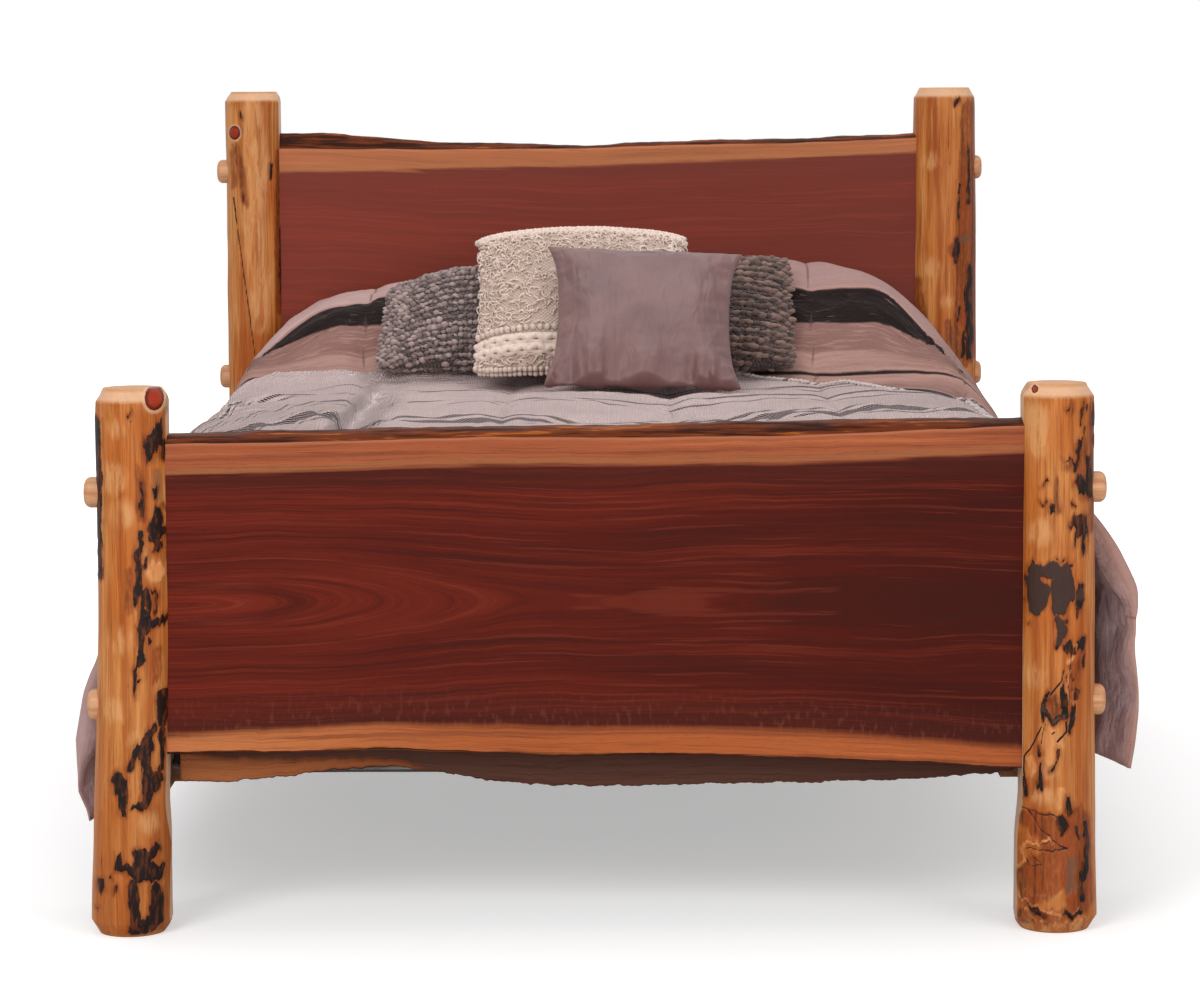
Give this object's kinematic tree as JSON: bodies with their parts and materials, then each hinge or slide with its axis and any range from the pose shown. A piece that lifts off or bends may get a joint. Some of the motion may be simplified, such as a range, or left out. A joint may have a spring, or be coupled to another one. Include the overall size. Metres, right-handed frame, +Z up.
{
  "type": "bed",
  "caption": "Rustic queen bed: four peeled log posts pegged to live-edge slab headboard and footboard, with side rails, slats, box spring, mattress and layered bedding.",
  "frame": {"origin": "on the floor, in the middle of the bed", "axes": "+Z up, +Y from the foot end to the head end, +X to the right when standing at the foot end and looking at the headboard"},
  "size_m": [1.866, 2.274, 1.468],
  "materials": {
    "post_log": "peeled log, sealed, honey brown with darker bark and beetle marks",
    "peg_wood": "turned peg, sealed, pale",
    "slab_wood": "live-edge slab, dark red heartwood with an orange sapwood band, satin",
    "rail_wood": "planed softwood, stained",
    "steel": "zinc-plated steel",
    "box_spring_cloth": "dark woven cover",
    "mattress_cloth": "knitted ticking",
    "comforter_cloth": "quilted cotton, striped",
    "cotton": "plain cotton",
    "throw_cloth": "loose woven cotton with dark dashes",
    "grey_satin": "satin",
    "cream_yarn": "shaggy and braided yarn",
    "grey_yarn": "bobble knit"
  },
  "bodies": {
    "bed": {"box_spring": "box_spring_cloth", "catch_plate_screws": "steel", "comforter": "comforter_cloth", "cross_rail_screws": "steel", "foot_cross_rail": "slab_wood", "foot_left_catch_plate": "steel", "foot_left_hook_plate": "steel", "foot_left_lower_peg": "peg_wood", "foot_left_post": "post_log", "foot_left_upper_peg": "peg_wood", "foot_right_catch_plate": "steel", "foot_right_hook_plate": "steel", "foot_right_lower_peg": "peg_wood", "foot_right_post": "post_log", "foot_right_upper_peg": "peg_wood", "footboard_slab": "slab_wood", "head_cross_rail": "slab_wood", "head_left_catch_plate": "steel", "head_left_hook_plate": "steel", "head_left_lower_peg": "peg_wood", "head_left_post": "post_log", "head_left_upper_peg": "peg_wood", "head_right_catch_plate": "steel", "head_right_hook_plate": "steel", "head_right_lower_peg": "peg_wood", "head_right_post": "post_log", "head_right_upper_peg": "peg_wood", "headboard_slab": "slab_wood", "hook_plate_screws": "steel", "ledger_screws": "steel", "left_ledger": "rail_wood", "left_side_rail": "rail_wood", "left_sleeping_pillow": "cotton", "mattress": "mattress_cloth", "right_ledger": "rail_wood", "right_side_rail": "rail_wood", "right_sleeping_pillow": "cotton", "slat_1": "rail_wood", "slat_2": "rail_wood", "slat_3": "rail_wood", "slat_4": "rail_wood", "slat_5": "rail_wood", "slat_screws": "steel", "throw_blanket": "throw_cloth"},
    "left_knit_pillow": {"left_knit_pillow": "grey_yarn"},
    "right_knit_pillow": {"right_knit_pillow": "grey_yarn"},
    "cream_pillow": {"cream_pillow": "cream_yarn"},
    "grey_pillow": {"grey_pillow": "grey_satin"}
  },
  "joints": [
    {"name": "left_knit_pull", "type": "slide", "parent": "bed", "child": "left_knit_pillow", "axis": [-1, 0, 0], "range_m": [0, 0.6]},
    {"name": "right_knit_pull", "type": "slide", "parent": "bed", "child": "right_knit_pillow", "axis": [1, 0, 0], "range_m": [0, 0.6]},
    {"name": "cream_lift", "type": "slide", "parent": "bed", "child": "cream_pillow", "axis": [0, 0, 1], "range_m": [0, 0.4]},
    {"name": "grey_lift", "type": "slide", "parent": "cream_pillow", "child": "grey_pillow", "axis": [0, 0, 1], "range_m": [0, 0.4]}
  ]
}
